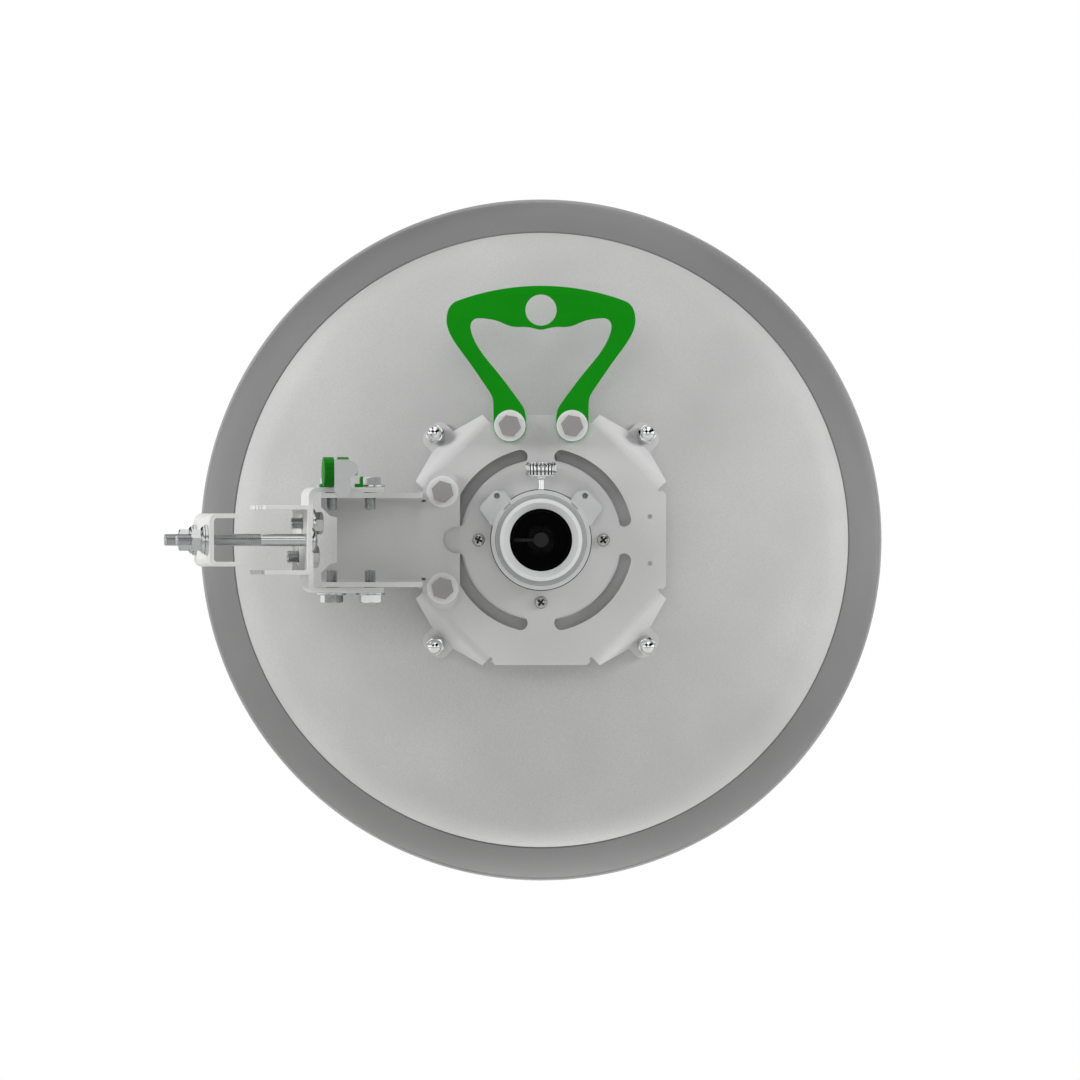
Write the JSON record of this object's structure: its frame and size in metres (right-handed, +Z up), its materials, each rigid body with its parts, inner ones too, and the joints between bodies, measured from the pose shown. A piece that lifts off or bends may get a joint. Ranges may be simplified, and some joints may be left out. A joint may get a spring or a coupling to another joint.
{
  "type": "dish antenna",
  "caption": "Parabolic microwave dish antenna with a skirted reflector, twist-lock rear port, carrying handle and a two-axis clamp for a vertical pole.",
  "frame": {"origin": "centre of the port socket's mouth", "axes": "+Y along the boresight, out of the dish; +Z up; +X to the right seen from behind"},
  "size_m": [0.5798, 0.3096, 0.55],
  "materials": {
    "dish_paint": "fine light-grey powder coat",
    "plate_paint": "fine light-grey powder coat",
    "skirt_paint": "grey powder coat",
    "rim": "light-grey paint",
    "radome": "matt moulded",
    "green_paint": "satin green powder coat",
    "green_plastic": "moulded",
    "zinc": "zinc plated",
    "bolt_steel": "stainless, forged",
    "chrome": "polished",
    "cast": "chromated casting",
    "black": "moulded rubber",
    "dark": "dark machined",
    "white_plastic": "turned plastic"
  },
  "bodies": {
    "clamp": {"inner_jaw": "plate_paint", "jaw_bushes": "zinc", "elevation_bolts": "zinc", "elevation_washers": "zinc", "carriage_bolts": "zinc"},
    "outer_jaw": {"outer_jaw": "plate_paint", "jaw_washers": "zinc", "flange_nuts": "zinc"},
    "u_bracket": {"u_bracket": "plate_paint", "adjuster_frame": "zinc", "index_strip": "green_paint", "thrust_washer": "black"},
    "adjuster_nut": {"adjuster_nut": "green_plastic"},
    "adjuster_wheel": {"adjuster_wheel": "green_plastic", "adjuster_screw": "zinc"},
    "head": {"reflector": "dish_paint", "shroud": "skirt_paint", "rim_hoop": "rim", "radome": "radome", "hub_plate": "plate_paint", "hub_studs": "zinc", "stud_washers": "zinc", "dome_nuts": "chrome", "feed_hub": "cast", "feed_flange": "cast", "port_seal": "black", "feed_pin": "dark", "feed_tube": "cast", "feed_cone": "white_plastic", "subreflector": "cast", "port_screws": "chrome", "handle": "green_paint", "handle_bolts": "bolt_steel", "handle_washers": "zinc", "hub_nuts": "zinc", "arm": "plate_paint", "arm_bolts": "bolt_steel", "arm_washers": "zinc", "arm_bushes": "zinc", "azimuth_pivot_bolts": "zinc", "azimuth_lock_bolts": "zinc", "azimuth_washers": "zinc", "drive_pin": "zinc"},
    "lock_ring": {"lock_ring": "cast"},
    "thumb_collar": {"thumb_collar": "chrome"},
    "thumb_screw": {"thumb_screw": "chrome"}
  },
  "joints": [
    {"name": "elevation", "type": "hinge", "parent": "clamp", "child": "u_bracket", "pos_m": [-0.19046, 0.00065, -0.0135], "axis": [0.9936, 0.1132, 0], "range_deg": [-15, 15]},
    {"name": "azimuth", "type": "hinge", "parent": "u_bracket", "child": "head", "pos_m": [-0.169, -0.011, 0], "axis": [0, 0, 1], "range_deg": [-3.5, 16.5]},
    {"name": "adjuster_travel", "type": "slide", "parent": "u_bracket", "child": "adjuster_nut", "axis": [0.9936, 0.1132, 0], "range_m": [-0.0014, 0.006]},
    {"name": "adjuster_turn", "type": "hinge", "parent": "u_bracket", "child": "adjuster_wheel", "pos_m": [-0.16509, -0.04528, 0.0549], "axis": [0.9936, 0.1132, 0], "range_deg": [-450.9, 2125.5]},
    {"name": "jaw_travel", "type": "slide", "parent": "clamp", "child": "outer_jaw", "axis": [0.9936, 0.1132, 0], "range_m": [-0.009, 0.016]},
    {"name": "lock_turn", "type": "hinge", "parent": "head", "child": "lock_ring", "pos_m": [0, 0, 0], "axis": [0, 1, 0], "range_deg": [0, 20]},
    {"name": "thumb_travel", "type": "slide", "parent": "lock_ring", "child": "thumb_collar", "axis": [0, 0, 1], "range_m": [0, 0.004]},
    {"name": "thumb_turn", "type": "hinge", "parent": "thumb_collar", "child": "thumb_screw", "pos_m": [0, 0.006, 0.055], "axis": [0, 0, 1], "range_deg": [0, 1441]}
  ],
  "couplings": [
    {"joint": "adjuster_travel", "follows": "azimuth", "m_per_rad": 0.0201},
    {"joint": "adjuster_turn", "follows": "azimuth", "ratio": 126.29},
    {"joint": "thumb_turn", "follows": "thumb_travel", "rad_per_m": 6283.2}
  ]
}
